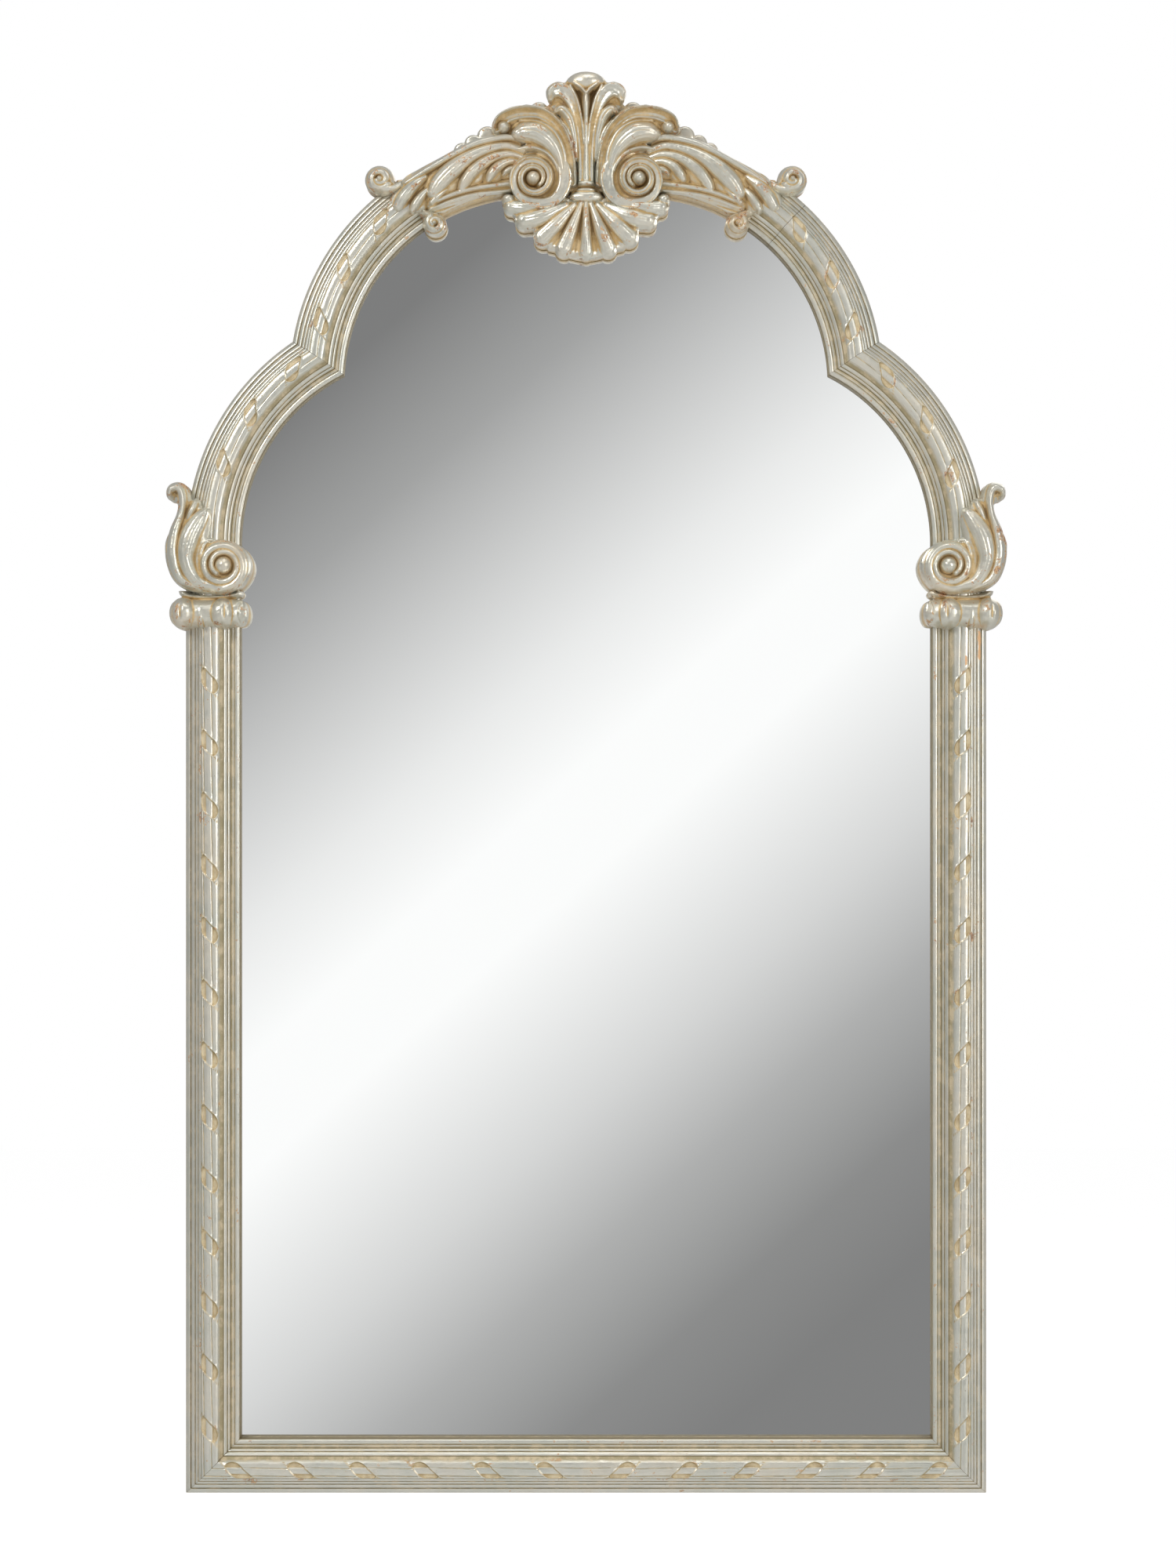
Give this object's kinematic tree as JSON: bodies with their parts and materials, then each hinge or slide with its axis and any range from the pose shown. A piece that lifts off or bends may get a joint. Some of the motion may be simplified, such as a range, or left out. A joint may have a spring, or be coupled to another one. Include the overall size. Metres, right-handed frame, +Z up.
{
  "type": "silvered wood wall mirror",
  "caption": "Tall wall mirror in a reeded, silvered wood frame with a double-arched top, carved acanthus and scroll crest over a shell, scrolled shoulders, back board and D-ring hangers.",
  "frame": {"origin": "middle of the flat back face of the bottom rail", "axes": "+Z up, +Y out of the back towards the wall, +X to the right as seen from the front; the mirror faces -Y"},
  "size_m": [0.779, 0.0613, 1.3196],
  "materials": {
    "silvered_wood": "silver leaf over bole with a toned glaze, rubbed at the high spots",
    "plain_wood": "bare hardwood",
    "plywood": "bare plywood",
    "silvered_glass": "polished float glass, silvered on the back",
    "plated_steel": "zinc plated",
    "rubber": "matte"
  },
  "bodies": {
    "frame": {"back_board": "plywood", "bottom_rail": "silvered_wood", "bumper_left": "rubber", "bumper_right": "rubber", "capital_left": "silvered_wood", "capital_right": "silvered_wood", "corner_dowel_left": "plain_wood", "corner_dowel_right": "plain_wood", "crest_board": "silvered_wood", "crest_board_screw": "plated_steel", "cresting_left": "silvered_wood", "cresting_right": "silvered_wood", "cusp_dowel_left": "plain_wood", "cusp_dowel_right": "plain_wood", "drop_curl_left": "silvered_wood", "drop_curl_right": "silvered_wood", "ear_curl_left": "silvered_wood", "ear_curl_right": "silvered_wood", "hanger_strap_left": "plated_steel", "hanger_strap_right": "plated_steel", "high_stile_screw_left": "plated_steel", "high_stile_screw_right": "plated_steel", "hooked_leaf_left": "silvered_wood", "hooked_leaf_right": "silvered_wood", "low_stile_screw_left": "plated_steel", "low_stile_screw_right": "plated_steel", "lower_arch_left": "silvered_wood", "lower_arch_right": "silvered_wood", "lower_arch_screw_left": "plated_steel", "lower_arch_screw_right": "plated_steel", "lower_hanger_screw_left": "plated_steel", "lower_hanger_screw_right": "plated_steel", "mirror_glass": "silvered_glass", "plume": "silvered_wood", "rail_screw_left": "plated_steel", "rail_screw_right": "plated_steel", "seam_dowel_left": "plain_wood", "seam_dowel_right": "plain_wood", "setting_block_left": "rubber", "setting_block_right": "rubber", "shell": "silvered_wood", "shoulder_scroll_left": "silvered_wood", "shoulder_scroll_right": "silvered_wood", "spray_left": "silvered_wood", "spray_right": "silvered_wood", "stile_dowel_left": "plain_wood", "stile_dowel_right": "plain_wood", "stile_left": "silvered_wood", "stile_right": "silvered_wood", "upper_arch_left": "silvered_wood", "upper_arch_right": "silvered_wood", "upper_arch_screw_left": "plated_steel", "upper_arch_screw_right": "plated_steel", "upper_hanger_screw_left": "plated_steel", "upper_hanger_screw_right": "plated_steel", "volute_left": "silvered_wood", "volute_right": "silvered_wood"},
    "ring_right": {"hanger_ring_right": "plated_steel"},
    "ring_left": {"hanger_ring_left": "plated_steel"}
  },
  "joints": [
    {"name": "ring_right_hinge", "type": "hinge", "parent": "frame", "child": "ring_right", "pos_m": [0.355, 0.00305, 0.723], "axis": [1, 0, 0], "range_deg": [0, 180]},
    {"name": "ring_left_hinge", "type": "hinge", "parent": "frame", "child": "ring_left", "pos_m": [-0.355, 0.00305, 0.723], "axis": [1, 0, 0], "range_deg": [0, 180]}
  ]
}
